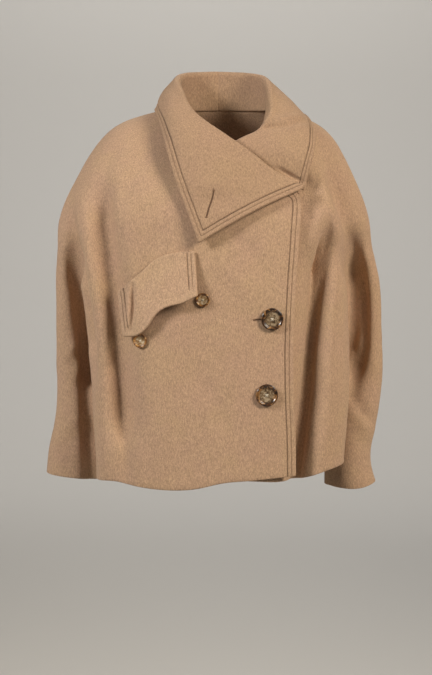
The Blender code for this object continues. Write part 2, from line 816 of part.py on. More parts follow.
class Coat:
    """The body of the coat as its nets, for the pieces that lie on it."""

    def __init__(self, panels, back, rows, back_rows, normals):
        self.panels = panels
        self.back = back
        self.rows = rows
        self.back_rows = back_rows
        self.normals = normals

    def skin(self, side):
        """The outer surface of one side's front and of the back."""
        front, back = self.panels[side], self.back
        count = len(front.points)
        faces = front.faces + [tuple(v + count for v in face) for face in back.faces]
        return BVHTree.FromPolygons([tuple(p) for p in front.points + back.points], faces)

    def neckline(self, side):
        """Points and outward normals along the collar seam, from the front to the middle of the back."""
        body, sleeve = self.rows[side]
        front, back = self.panels[side], self.back
        ids = body[-1] + sleeve[-1][1:]
        if side == "right":
            slanted = [r[0] for r in body[:-1] if front.points[r[0]][2] > COLLAR_START]
            ids = slanted + ids
        back_body, back_sleeve = self.back_rows[side]
        back_ids = back_sleeve[-1][::-1][1:] + back_body[-1][::-1][1:]
        points = [front.points[i] for i in ids] + [back.points[i] for i in back_ids]
        normals = [self.normals[id(front)][i] for i in ids] + [self.normals[id(back)][i] for i in back_ids]
        return np.array(points), np.array(normals)


def columns_at(columns, share):
    return np.column_stack([lookup(columns, "share", name, share) for name in "xyz"])


def seam_for(roll, points, normals):
    """The point of the seam below each point of the roll, seen from above, in running order."""
    fine = np.linspace(0, len(points) - 1, 400)
    line = np.column_stack([np.interp(fine, np.arange(len(points)), points[:, k]) for k in range(3)])
    flat = line * [1, 1, 0.3]
    nearest = [np.argmin(np.linalg.norm(flat - r * [1, 1, 0.3], axis=1)) for r in roll]
    place = np.maximum.accumulate(fine[np.array(nearest)])
    place[-1] = len(points) - 1
    for _ in range(3):
        place[1:-1] = 0.25 * place[:-2] + 0.5 * place[1:-1] + 0.25 * place[2:]
    numbers = np.arange(len(points))
    seam = np.column_stack([np.interp(place, numbers, points[:, k]) for k in range(3)])
    outward = np.column_stack([np.interp(place, numbers, normals[:, k]) for k in range(3)])
    return seam, unit(outward)


def push_out(points, tree, clear):
    """Moves points off a surface until they clear it."""
    moved = []
    for point in points:
        place, normal, _, _ = tree.find_nearest(Vector(point))
        off = (Vector(point) - place).dot(normal)
        moved.append(np.array(Vector(point) + normal * max(0.0, clear - off)))
    return np.array(moved)


def collar_half(name, side, coat, wool, behind=None):
    """One half of the collar: a stand off the seam, a roll, and a fall to the outer edge."""
    share = np.linspace(0, 1, COLLAR_LENGTH_STEPS + 1)
    roll = columns_at(ROLL_LINES[side], share)
    edge = columns_at(OUTER_EDGES[side], share)
    seam, seam_normal = seam_for(roll, *coat.neckline(side))
    run = unit(np.gradient(seam, axis=0))
    over = unit(np.cross(seam_normal, run))
    over *= np.sign(over[:, 2].mean())
    lapel = seam + over * (COLLAR_SEAM + LAPEL_STAND + ROLL_RADIUS)
    lapel += seam_normal * (ROLL_RADIUS - COLLAR_CLOTH)
    own = smoothstep(*ROLL_LEAVES[side], share)[:, None]
    crest = lapel * (1 - own) + roll * own
    along = unit(np.gradient(crest, axis=0))
    along[-1] = (1, 0, 0) if side == "right" else (-1, 0, 0)
    rise = unit(unit(crest - seam) + unit(crest - edge))
    rise = unit(rise - along * np.sum(rise * along, axis=1, keepdims=True))
    out = np.cross(rise, along) * (1 if side == "right" else -1)
    standing = unit(crest - rise * ROLL_RADIUS - out * (ROLL_RADIUS - COLLAR_CLOTH) - seam)
    inward = unit(np.cross(run, standing))
    inward *= -np.sign(np.sum(inward * out, axis=1, keepdims=True))
    foot = seam + (over * (1 - own) + standing * own) * COLLAR_SEAM + inward * COLLAR_CLOTH
    stand_top = crest - rise * ROLL_RADIUS - out * ROLL_RADIUS
    fall_top = crest - rise * ROLL_RADIUS + out * ROLL_RADIUS
    lines = [foot + (stand_top - foot) * t for t in np.linspace(0, 1, STAND_STEPS + 1)[:-1]]
    for angle in np.linspace(0, math.pi, ROLL_STEPS + 1):
        lines.append(crest - rise * ROLL_RADIUS * (1 - math.sin(angle)) - out * ROLL_RADIUS * math.cos(angle))
    bow = END_BOW[side] * (1 - smoothstep(0.0, 0.35, share))[:, None]
    tree = coat.skin(side)
    for step in range(1, FALL_STEPS + 1):
        t = step / FALL_STEPS
        line = fall_top + (edge - fall_top) * t
        line += out * FALL_BELLY[side] * 4 * t * (1 - t)
        line[:, 2:] += bow * 4 * t * (1 - t)
        lines.append(line)
    grid = np.array(lines)
    first = STAND_STEPS + ROLL_STEPS + 1
    for _ in range(4):
        fall = grid[first:]
        beside = grid[first - 1 : -2, 1:-1] + fall[1:, 1:-1] + fall[:-1, :-2] + fall[:-1, 2:]
        fall[:-1, 1:-1] += FALL_EASE * (beside / 4 - fall[:-1, 1:-1])
        shape = fall.shape
        grid[first:] = push_out(fall.reshape(-1, 3), tree, COLLAR_REST + COLLAR_CLOTH).reshape(shape)
        if behind is not None:
            grid = tuck_behind(grid, behind)
    middle = -SEAM_GAP / 2 if side == "right" else SEAM_GAP / 2
    grid[:, -1, 0] = middle
    panel = Panel()
    rows = [[panel.add(p) for p in line] for line in grid]
    panel.net(rows)
    normals = panel.normals()
    if np.mean(np.sum(normals[rows[-2]] * out, axis=1)) < 0:
        panel.faces = [face[::-1] for face in panel.faces]
        normals = -normals
    normals[rows[0]] = inward
    ends = [line[-1] for line in rows]
    normals[ends] = unit(normals[ends] * [0, 1, 1])
    walled(name, panel, normals, COLLAR_CLOTH, wool)
    return panel, normals


def tuck_behind(grid, tree):
    """Keeps points behind the pieces that cover them, looking out from inside the coat."""
    for line in grid:
        for point in line:
            if 0 < point[0] < COVERED_WIDTH and point[1] < COVERED_FRONT:
                for lower, clear in COVER_FEELERS:
                    start = Vector((point[0], COVERED_FRONT + 10, point[2] - lower))
                    hit = tree.ray_cast(start, Vector((0, -1, 0)))
                    if hit[0] is not None:
                        point[1] = max(point[1], hit[0].y + clear)
    return grid


def inner_tree(pieces):
    """The inner faces of cloth pieces, each given as its net, its normals and its thickness."""
    points, faces = [], []
    for panel, normals, thickness in pieces:
        count = len(points)
        points += [tuple(p) for p in panel.array() - normals * thickness]
        faces += [tuple(v + count for v in face) for face in panel.faces]
    return BVHTree.FromPolygons(points, faces)


def surface_at(tree, x, z):
    """The point and normal of the coat's front at a place seen from the front."""
    place, normal, _, _ = tree.ray_cast(Vector((x, -400.0, z)), Vector((0, 1, 0)))
    return np.array(place), np.array(normal)


def make_flap(coat, wool):
    """The slanted chest flap, sewn on along its top and lifting towards its lower edge."""
    tree = coat.skin("right")
    panel = Panel()
    rows = []
    share = np.linspace(0, 1, FLAP_COLUMNS + 1)
    top = [lookup(FLAP_TOP, "share", name, share) for name in ("x", "height")]
    low = [lookup(FLAP_EDGE, "share", name, share) for name in ("x", "height")]
    lift = lookup(FLAP_LIFT, "share", "lift", share)
    for t in np.linspace(0, 1, FLAP_ROWS + 1):
        row, row_rest, row_across = [], [], []
        for j in range(len(share)):
            x = top[0][j] + (low[0][j] - top[0][j]) * t
            z = top[1][j] + (low[1][j] - top[1][j]) * t
            place, _ = surface_at(tree, x, z)
            resting = place[1]
            if row:
                resting = min(resting, row_rest[-1] + FLAP_FALL * abs(x - row_across[-1]))
            row_rest.append(resting)
            row_across.append(x)
            off = FLAP_CLOTH + 0.7 + lift[j] * t**1.4
            clear = FLAP_CLOTH + 0.9 + 1.8 * smoothstep(0.45, 0.7, share[j])
            point = push_out([(x, resting - off, z)], tree, clear)[0]
            row.append(panel.add(point))
        rows.append(row)
    panel.net(rows)
    normals = panel.normals()
    if normals[:, 1].mean() > 0:
        panel.faces = [face[::-1] for face in panel.faces]
        normals = -normals
    walled("pocket_flap", panel, normals, FLAP_CLOTH, wool)


# A button from its back to its face: share of the radius, and height off the cloth as a share of the diameter
BUTTON_PROFILE = table(
    "step radius height",
    (0, 0.00, 0.000),
    (1, 0.78, 0.000),
    (2, 0.97, 0.050),
    (3, 1.00, 0.090),
    (4, 0.96, 0.130),
    (5, 0.86, 0.145),
    (6, 0.76, 0.125),
    (7, 0.66, 0.095),
    (8, 0.00, 0.085),
)
BUTTON_SIDES = 20


def make_button(name, x, z, diameter, off, tree, horn):
    """A sew-on button with a raised rim, turned to lie flat on the cloth."""
    place, normal = surface_at(tree, x, z)
    across = unit(np.cross([0, 0, 1.0], normal))
    up = np.cross(normal, across)
    points, faces = [], []
    rings = list(zip(BUTTON_PROFILE["radius"], BUTTON_PROFILE["height"]))
    centre = place + normal * off
    points.append(centre)
    for radius, height in rings[1:-1]:
        for k in range(BUTTON_SIDES):
            angle = 2 * math.pi * k / BUTTON_SIDES
            spoke = across * math.cos(angle) + up * math.sin(angle)
            points.append(centre + spoke * radius * diameter / 2 + normal * height * diameter)
    points.append(centre + normal * rings[-1][1] * diameter)
    last = len(points) - 1
    for ring in range(len(rings) - 2):
        for k in range(BUTTON_SIDES):
            a = 1 + ring * BUTTON_SIDES + k
            b = 1 + ring * BUTTON_SIDES + (k + 1) % BUTTON_SIDES
            if ring == 0:
                faces.append((0, b, a))
            if ring == len(rings) - 3:
                faces.append((a, b, last))
            else:
                faces.append((a, b, b + BUTTON_SIDES, a + BUTTON_SIDES))
    solid(name, np.array(points), faces, horn)


def main():
    for old in list(bpy.data.objects):
        bpy.data.objects.remove(old)
    wool = finish("camel_wool", CAMEL, 0.95)
    horn = finish("horn", HORN, 0.3)
    coat = make_body(wool)
    collar, collar_normals = collar_half("collar_right", "right", coat, wool)
    front = coat.panels["right"]
    cover = inner_tree([
        (front, coat.normals[id(front)], CLOTH),
        (collar, collar_normals, 0.0),
    ])
    collar_half("collar_left", "left", coat, wool, cover)
    make_flap(coat, wool)
    tree = coat.skin("right")
    for name, (x, z, diameter, off) in BUTTONS.items():
        make_button(name, x, z, diameter, off, tree, horn)


main()
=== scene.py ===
"""The looks of the short double-breasted camel coat, dressed on its CAD solids.

Each cloth piece is a thin shell on the outer skin of its own solid: made finer, creased and stitched, then
given back its thickness with rounded edges. Buttons, thread and buttonholes are their own pieces. Sizes are
in millimetres unless a name or comment says otherwise, in the row frame: +X is the wearer's left, the front
faces -Y, +Z is up.
"""

import json
import math
from collections import namedtuple

import bmesh
import bpy
import numpy as np
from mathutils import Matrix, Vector, noise
from mathutils.bvhtree import BVHTree
from mathutils.kdtree import KDTree

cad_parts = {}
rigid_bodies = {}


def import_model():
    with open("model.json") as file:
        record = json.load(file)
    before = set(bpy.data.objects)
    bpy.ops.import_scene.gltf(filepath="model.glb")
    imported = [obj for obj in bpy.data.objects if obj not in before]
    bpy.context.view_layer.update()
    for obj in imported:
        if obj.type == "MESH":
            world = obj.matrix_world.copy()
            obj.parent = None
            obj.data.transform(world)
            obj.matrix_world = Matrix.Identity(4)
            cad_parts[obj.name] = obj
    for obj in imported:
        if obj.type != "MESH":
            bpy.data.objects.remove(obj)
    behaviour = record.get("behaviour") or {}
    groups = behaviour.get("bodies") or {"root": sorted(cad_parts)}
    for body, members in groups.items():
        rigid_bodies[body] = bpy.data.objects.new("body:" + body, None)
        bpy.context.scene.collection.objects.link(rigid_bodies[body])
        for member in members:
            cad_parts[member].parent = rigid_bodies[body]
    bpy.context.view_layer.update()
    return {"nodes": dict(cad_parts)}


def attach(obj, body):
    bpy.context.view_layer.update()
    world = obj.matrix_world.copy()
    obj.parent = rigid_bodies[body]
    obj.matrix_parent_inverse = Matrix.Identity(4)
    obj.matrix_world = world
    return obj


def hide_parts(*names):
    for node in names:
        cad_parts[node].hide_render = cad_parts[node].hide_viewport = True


MM = 0.001

# Camera, with its focal length in pixels of the photograph
CAMERA_PLACE = (-3.6, -3000.0, -150.0)
CAMERA_AIM = (-3.6, 0.0, -395.0)
CAMERA_FOCAL_PIXELS = 1672.0
PHOTO_HEIGHT = 675.0
SENSOR = 36.0
CLIP_END_M = 60.0

# Studio, in metres: a round floor that sweeps up into a backdrop
FLOOR_HEIGHT = -1.42
STUDIO_RADIUS = 7.0
STUDIO_SWEEP = 2.0
STUDIO_HEIGHT = 6.0
STUDIO_SIDES = 96
SWEEP_STEPS = 12
PAPER_COLOUR = (0.66, 0.64, 0.60, 1)
AIR_COLOUR = (0.95, 0.97, 1.0, 1)
AIR_STRENGTH = 0.09

# Square lights, in metres, watts and degrees: place, aim, size, power, colour and spread
LIGHTS = {
    "key": ((-2.9, -2.0, 1.5), (0, 0, -0.42), 0.9, 13.6, (1.0, 0.97, 0.94), 60),
    "fill": ((2.7, -2.1, 1.5), (0, 0, -0.42), 1.3, 16.6, (1.0, 0.915, 0.79), 60),
    "back": ((0.6, 3.2, 1.8), (0, 0, -0.2), 2.2, 13, (1.0, 0.97, 0.94), 90),
    "backdrop": ((0.0, 3.4, 3.4), (0, 7.0, -0.2), 2.5, 112, (1.0, 0.98, 0.97), 150),
}

# Cloth pieces: thickness, how often the net is halved, height of the slow ripple, cut size, cut area and slot
Cloth = namedtuple("Cloth", "thickness halvings ripple flat_m area_m2 slot")
CLOTHS = {
    "front_right": Cloth(3.0, 2, 0.9, (0.56, 0.68), 0.349, "wool_body"),
    "front_left": Cloth(3.0, 2, 0.9, (0.52, 0.70), 0.322, "wool_body"),
    "back": Cloth(3.0, 2, 0.9, (0.82, 0.71), 0.476, "wool_body"),
    "collar_right": Cloth(5.0, 3, 0.5, (0.30, 0.42), 0.080, "wool_collar"),
    "collar_left": Cloth(5.0, 3, 0.5, (0.22, 0.36), 0.054, "wool_collar"),
    "pocket_flap": Cloth(4.5, 3, 0.5, (0.15, 0.14), 0.0143, "wool_flap"),
}
PANELS = ("front_right", "front_left", "back")

# Wool of each slot: material name, ground colour and the colour of its patches. All are one camel wool: the
# collar's copy is darker as painted shade, and the flap's is lighter as painted light
WOOLS = {
    "wool_body": ("camel_wool_body", (0.478, 0.307, 0.203), (0.484, 0.320, 0.198)),
    "wool_collar": ("camel_wool_collar_painted_shade", (0.425, 0.272, 0.175), (0.43, 0.281, 0.172)),
    "wool_flap": ("camel_wool_flap_painted_light", (0.50, 0.326, 0.215), (0.505, 0.338, 0.21)),
}
# Threads, and the painted shadow in a slit: the bright side of the twist and its dark side
THREADS = {
    "camel_thread": ((0.40, 0.26, 0.155), (0.26, 0.16, 0.09)),
    "brown_thread": ((0.30, 0.175, 0.10), (0.15, 0.08, 0.04)),
    "button_thread": ((0.80, 0.72, 0.58), (0.52, 0.43, 0.30)),
    "slit_shadow": ((0.035, 0.012, 0.006), (0.015, 0.006, 0.003)),
}
# Horn colours from the darkest clouds to the palest: the middle, then the rim
HORNS = {
    "dark_horn": (
        ((0.36, (0.05, 0.026, 0.011)), (0.48, (0.19, 0.125, 0.066)), (0.62, (0.38, 0.29, 0.19))),
        ((0.40, (0.018, 0.008, 0.003)), (0.53, (0.075, 0.030, 0.010)), (0.66, (0.36, 0.18, 0.06))),
    ),
    "amber_horn": (
        ((0.34, (0.22, 0.11, 0.04)), (0.48, (0.40, 0.27, 0.14)), (0.62, (0.62, 0.50, 0.35))),
        ((0.38, (0.07, 0.025, 0.008)), (0.50, (0.24, 0.10, 0.025)), (0.64, (0.55, 0.30, 0.10))),
    ),
}

# Reading a solid: corners closer than this, in metres, are one
MERGE_M = 1e-6
# A rim edge is as long as the cloth is thick, give or take this much
WALL_TOLERANCE = 0.02
# On the back's underarm corners it is longer by this factor
CORNER_TURN = 1.105
# A skin is smoothed this many times, and a rim bulges by this share of half the thickness, in some steps
SKIN_SMOOTHING = 2
EDGE_BULGE = 0.9
RIM_STEPS = 4

# Paths on cloth: spacing of their points, the same where distances are measured, and where their rays start
PATH_PITCH = 6.0
MEASURE_PITCH = 1.5
RAY_START = 400.0
POINTS_AT_ONCE = 4000

# Creases beyond those of the solids: the piece, depth (a ridge is below 0), half-width, and the path as
# places across and up, from one end to the other
CREASES = (
    ("front_right", 3.0, 9.0, ((-236, -402), (-250, -425), (-266, -448))),
    ("front_right", -2.0, 8.0, ((-240, -385), (-256, -408), (-272, -428))),
    ("front_right", 2.4, 10.0, ((-228, -440), (-240, -468), (-262, -494))),
    ("front_right", 2.0, 12.0, ((-248, -560), (-262, -580), (-286, -590))),
    ("front_right", -2.2, 12.0, ((-232, -520), (-250, -540), (-276, -548))),
    ("front_right", 2.0, 14.0, ((-60, -420), (-20, -470), (30, -560))),
    ("front_right", -1.8, 18.0, ((-100, -440), (-90, -520), (-96, -620))),
    ("front_right", 2.2, 12.0, ((20, -200), (60, -240), (96, -300))),
    ("front_right", -1.6, 12.0, ((-10, -240), (30, -280), (66, -330))),
    ("front_right", 2.6, 14.0, ((-120, -60), (-150, -110), (-168, -170))),
    ("front_right", 2.0, 14.0, ((-160, -40), (-196, -90), (-222, -150))),
    ("front_left", 3.4, 10.0, ((284, -548), (262, -530), (244, -500))),
    ("front_left", -2.6, 8.0, ((282, -566), (262, -552), (244, -536))),
    ("front_left", 2.6, 9.0, ((280, -590), (262, -586), (246, -570))),
    ("front_left", 2.4, 12.0, ((206, -330), (212, -400), (208, -480))),
    ("front_left", -2.4, 9.0, ((181, -330), (170, -400), (160, -480), (146, -580))),
    ("front_left", -2.6, 8.0, ((152, -330), (147, -400), (140, -470))),
    ("front_left", 3.0, 7.0, ((196, -172), (190, -205), (182, -250))),
    ("front_right", 10.0, 12.0, (
        (-192, -250), (-180, -352), (-174, -430), (-168, -500), (-162, -560), (-156, -630), (-152, -685),
    )),
    ("front_right", 10.0, 11.0, ((-234, -425), (-232, -470), (-231, -500), (-230, -540), (-229, -600))),
    ("front_right", -2.4, 12.0, ((-206, -370), (-201, -450), (-192, -540))),
    ("front_right", 3.0, 20.0, ((-196, -130), (-190, -180), (-186, -250), (-182, -310))),
    ("front_left", 2.4, 12.0, ((176, -140), (196, -180), (206, -240))),
    ("front_left", -1.8, 12.0, ((150, -180), (164, -230), (166, -280))),
    ("collar_left", 3.6, 6.0, ((45, -41), (78, -24), (117, -20), (151, -11))),
    ("collar_left", -2.6, 8.0, ((84, -12), (112, -8), (142, 0))),
    ("collar_left", 5.0, 4.0, ((100, -92), (118, -103), (136, -113), (150, -121))),
    ("collar_right", -1.6, 16.0, ((-60, -110), (-30, -120), (20, -128))),
    ("collar_right", 1.4, 14.0, ((-50, -150), (0, -150), (50, -140))),
    ("pocket_flap", 7.0, 3.2, ((-146, -292), (-147, -325), (-149, -369))),
    ("pocket_flap", -2.2, 3.2, ((-153, -300), (-155, -330), (-156, -366))),
    ("pocket_flap", -1.4, 12.0, ((-60, -262), (-90, -278), (-118, -304))),
)
BACK_CREASES = (
    (3.0, 12.0, ((-236, -402), (-254, -430), (-272, -452))),
    (-2.2, 10.0, ((-232, -430), (-250, -458), (-270, -480))),
    (2.6, 12.0, ((-228, -540), (-246, -560), (-276, -574))),
    (3.2, 10.0, ((280, -552), (258, -536), (238, -506))),
    (-2.4, 9.0, ((278, -572), (256, -560), (238, -540))),
    (2.6, 14.0, ((252, -330), (262, -390), (264, -450))),
    (2.4, 18.0, ((-120, -60), (-80, -110), (-20, -140))),
    (2.2, 18.0, ((118, -64), (84, -116), (30, -150))),
    (-2.0, 16.0, ((-110, -120), (-60, -168), (10, -190))),
    (2.4, 20.0, ((-20, -330), (-8, -440), (-16, -560))),
    (2.0, 16.0, ((112, -420), (104, -520), (116, -620))),
    (-2.0, 18.0, ((-118, -380), (-126, -480), (-116, -590))),
)
# Valleys run on down to their foot at full depth
VALLEYS = (
    ("front_right", 5.0, 13.0, (
        (-262, -200), (-248, -270), (-240, -330), (-235, -400), (-232, -480), (-230, -560), (-228, -645),
    )),
    ("front_right", 8.0, 14.0, ((-240, -370), (-237, -440), (-236, -500), (-232, -570), (-228, -645))),
    ("front_left", 10.0, 7.5, (
        (186, -262), (171, -322), (164, -386), (160, -445), (154, -504), (143, -580), (137, -630),
    )),
    ("front_left", 6.5, 12.0, ((240, -236), (243, -300), (245, -370), (244, -440), (240, -500))),
)
# How far in from its ends a crease's curve of depth starts, and the share of a valley over which it deepens
CREASE_END = 0.08
VALLEY_TOP = (-0.05, 0.35)

# Unevenness: wavelengths of the slow ripple and the fine one, and the fine one's height. The seeds keep the
# ripples of all pieces apart
SLOW_WAVELENGTH = 55.0
FINE_WAVELENGTH = 17.0
FINE_HEIGHT = 0.35
FINE_SEED = 20
SEED_STEP = 7.3

# Seams between the panels: the gap over which a seam opens up, the share from which an edge counts as sewn,
# and the depth and half-width of a seam's dip
SEAM_GAP = (2.5, 4.0)
SEWN_FROM = 0.5
SEAM_DIP = 1.3
SEAM_DIP_WIDTH = 4.0

# Stitching: distance from the finished edge, and the depth and half-width of the groove that it pulls in
GROOVES = ((14.0, 1.5, 1.7), (6.5, 0.6, 1.4))
# Painted shade: how much the stitching grooves darken the cloth's colour, on top of their real dip
GROOVE_SHADE = 0.34
# How much nearer the edge the stitching is, and the places where the stitched stretch begins, passes and ends
STITCHED = {
    "collar_right": (1.15, (0, 118, -28), (-104, 62, 0), (146, -132, -127)),
    "collar_left": (1.5, (0, 118, -28), (156, -8, -6), (150, -100, -130)),
    "front_right": (1.0, (90, -125, -113), (130, -160, -400), (133, -163, -621)),
    "pocket_flap": (1.15, (-31, -159, -229), (-92, -170, -329), (-188, -128, -298)),
}
# Distance from a stitched edge on cloth that has none
FAR = 999.0
# A stitched stretch is carried on past its ends, in the direction of its last few steps
STRETCH_PAST = 30.0
END_STEPS = 7
# The flap's lower edge is hardly drawn in between these shares of the stretch round it
SLACK_PULL = 0.12
SLACK_FROM = 0.27
SLACK_TO = 0.70
SLACK_FADE = 0.04
# Thread is only laid where the cloth is pulled in by more than this share
SEWN_PULL = 0.5

# One stitch, as places along and up: it dips into the cloth at both ends
STITCH_PITCH = 4.2
STITCH_PATH = ((-1.75, -0.45), (-1.1, 0.12), (0.0, 0.32), (1.1, 0.12), (1.75, -0.45))
STITCH_RADIUS = 0.36
THREAD_SIDES = 6
# Rows of fewer stitches and lines of fewer places are left out, and the others are smoothed this many times
FEWEST_STITCHES = 4
SHORTEST_LINE = 7
LINE_SMOOTHING = 6

# Worked buttonholes: piece, path as x and height, and how far the thread reaches to each side
BUTTONHOLES = {
    "collar_buttonhole": ("collar_right", ((-7, -131), (-10, -146), (-16, -163), (-20, -178)), 1.9),
    "front_buttonhole": ("front_right", ((60, -352), (70, -351), (84, -352)), 1.7),
}
HOLE_PITCH = 0.8
HOLE_THREAD = 0.42
HOLE_THREAD_SIDES = 5
# The cloth round a buttonhole: depth of its dip, and its half-width as a share of the thread's reach
HOLE_DIP = 1.1
HOLE_DIP_REACH = 1.5
# Radius of the near-black tube of painted shadow laid in each slit
SLIT_SHADOW_RADIUS = 0.62
BAR_THREADS = 4
BAR_PITCH = 0.64

# A button from the middle of its back round the rim to the middle of its face: shares of its radius
BUTTON_OUTLINE = (
    (0.0, 0.0), (0.70, 0.0), (0.86, 0.03), (0.96, 0.09), (1.0, 0.17), (0.985, 0.235), (0.94, 0.275),
    (0.88, 0.288), (0.82, 0.272), (0.775, 0.235), (0.74, 0.205), (0.66, 0.182), (0.4, 0.168), (0.0, 0.164),
)
BUTTON_SIDES = 72
BUTTON_RINGS = 84
BUTTON_SMOOTHING = 4
# Its four holes, on the diagonals: shares of its radius
HOLE_OFFSET = 0.15
HOLE_RADIUS = 0.062
HOLE_DEPTH = 0.11
DIAGONALS = tuple(math.pi / 4 * turn for turn in (1, 3, 5, 7))
# Its cross of thread: strand gap and strand radius as shares of the button's radius, and how far one arm lies
# over the other
STRAND_GAP = 0.028
STRAND_RADIUS = 0.022
CROSS_LIFT = 0.3
# Its shank under the back: strands to each side, as places along the button's axis
SHANK_SIDES = ((-1.0, 0.0), (0.0, 1.0), (1.0, 0.0), (0.0, -1.0))
SHANK_OFFSET = 0.9
SHANK_PATH = ((-1.6, 0), (0.0, 0), (0.6, 0))
SHANK_RADIUS = 0.7
BUTTON_HORNS = {
    "button_upper": "dark_horn",
    "button_lower": "dark_horn",
    "button_flap_inner": "amber_horn",
    "button_flap_outer": "amber_horn",
}

ButtonSeat = namedtuple("ButtonSeat", "radius base axis across upward")


def smoothstep(low, high, value):
    """0 below low, 1 above high and a soft rise between them."""
    share = np.clip((value - low) / (high - low), 0.0, 1.0)
    return share * share * (3 - 2 * share)


def bell(away, width):
    """1 on a line, falling off softly to both sides."""
    return np.exp(-((away / width) ** 2))


def unit(vectors):
    """Vectors brought to a length of 1."""
    return vectors / np.maximum(np.linalg.norm(vectors, axis=-1, keepdims=True), 1e-9)


def distance_along(points):
    """The distance along a line at each of its points."""
    return np.concatenate([[0], np.cumsum(np.linalg.norm(np.diff(points, axis=0), axis=1))])


def evened(points, rounds):
    """A line with its points drawn towards their neighbours. Its ends stay."""
    for _ in range(rounds):
        points[1:-1] = (points[:-2] + 2 * points[1:-1] + points[2:]) / 4
    return points


def resampled(line, pitch):
    """Evenly spaced points along a line, about a pitch apart."""
    line = np.asarray(line, float)
    along = distance_along(line)
    places = np.linspace(0, along[-1], max(2, int(round(along[-1] / pitch)) + 1))
    return np.column_stack([np.interp(places, along, line[:, k]) for k in range(3)])


def distance_to(points, line):
    """Each point's distance to a line, and where along it the nearest place is, from 0 to 1."""
    line = resampled(line, MEASURE_PITCH)
    away = np.empty(len(points))
    nearest = np.empty(len(points))
    for first in range(0, len(points), POINTS_AT_ONCE):
        some = slice(first, first + POINTS_AT_ONCE)
        square = ((points[some][:, None, :] - line[None, :, :]) ** 2).sum(2)
        nearest[some] = square.argmin(1) / (len(line) - 1)
        away[some] = np.sqrt(square.min(1))
    return away, nearest


def laid_on(tree, path, pitch=PATH_PITCH, face=-1):
    """Places given as x and height, carried onto a surface's front (-1) or back (1), with its normals."""
    found, normals = [], []
    for x, _, z in resampled([(x, 0.0, z) for x, z in path], pitch):
        hit, normal, _, _ = tree.ray_cast(Vector((x, RAY_START * face, z)), Vector((0, -face, 0)))
        if hit is not None:
            found.append(tuple(hit))
            normals.append(tuple(normal))
    return np.array(found), np.array(normals)


def connected(net):
    """The separate pieces of a bmesh, each as a list of its vertices."""
    seen, groups = set(), []
    for start in net.verts:
        if start in seen:
            continue
        seen.add(start)
        group, waiting = [], [start]
        while waiting:
            vert = waiting.pop()
            group.append(vert)
            for edge in vert.link_edges:
                other = edge.other_vert(vert)
                if other not in seen:
                    seen.add(other)
                    waiting.append(other)
        groups.append(group)
    return groups


def area_round(verts):
    """The area of the faces round each of some vertices, added up."""
    return sum(face.calc_area() for vert in verts for face in vert.link_faces)


def outer_net(node, thickness):
    """A CAD cloth node's outer side as a net of quads, without its rim and its inner side."""
    net = bmesh.new()
    net.from_mesh(frame["nodes"][node].data)
    bmesh.ops.remove_doubles(net, verts=net.verts, dist=MERGE_M)
    walls = (thickness, thickness * CORNER_TURN)
    rim_edges = {
        edge for edge in net.edges
        if any(abs(edge.calc_length() / MM - wall) < WALL_TOLERANCE for wall in walls)
    }
    rim = [face for face in net.faces if any(edge in rim_edges for edge in face.edges)]
    bmesh.ops.delete(net, geom=rim, context="FACES")
    sides = sorted(connected(net), key=area_round)
    inside = [vert for side in sides[:-1] for vert in side]
    bmesh.ops.delete(net, geom=inside, context="VERTS")
    bmesh.ops.join_triangles(
        net, faces=net.faces, angle_face_threshold=math.pi, angle_shape_threshold=math.pi
    )
    return net


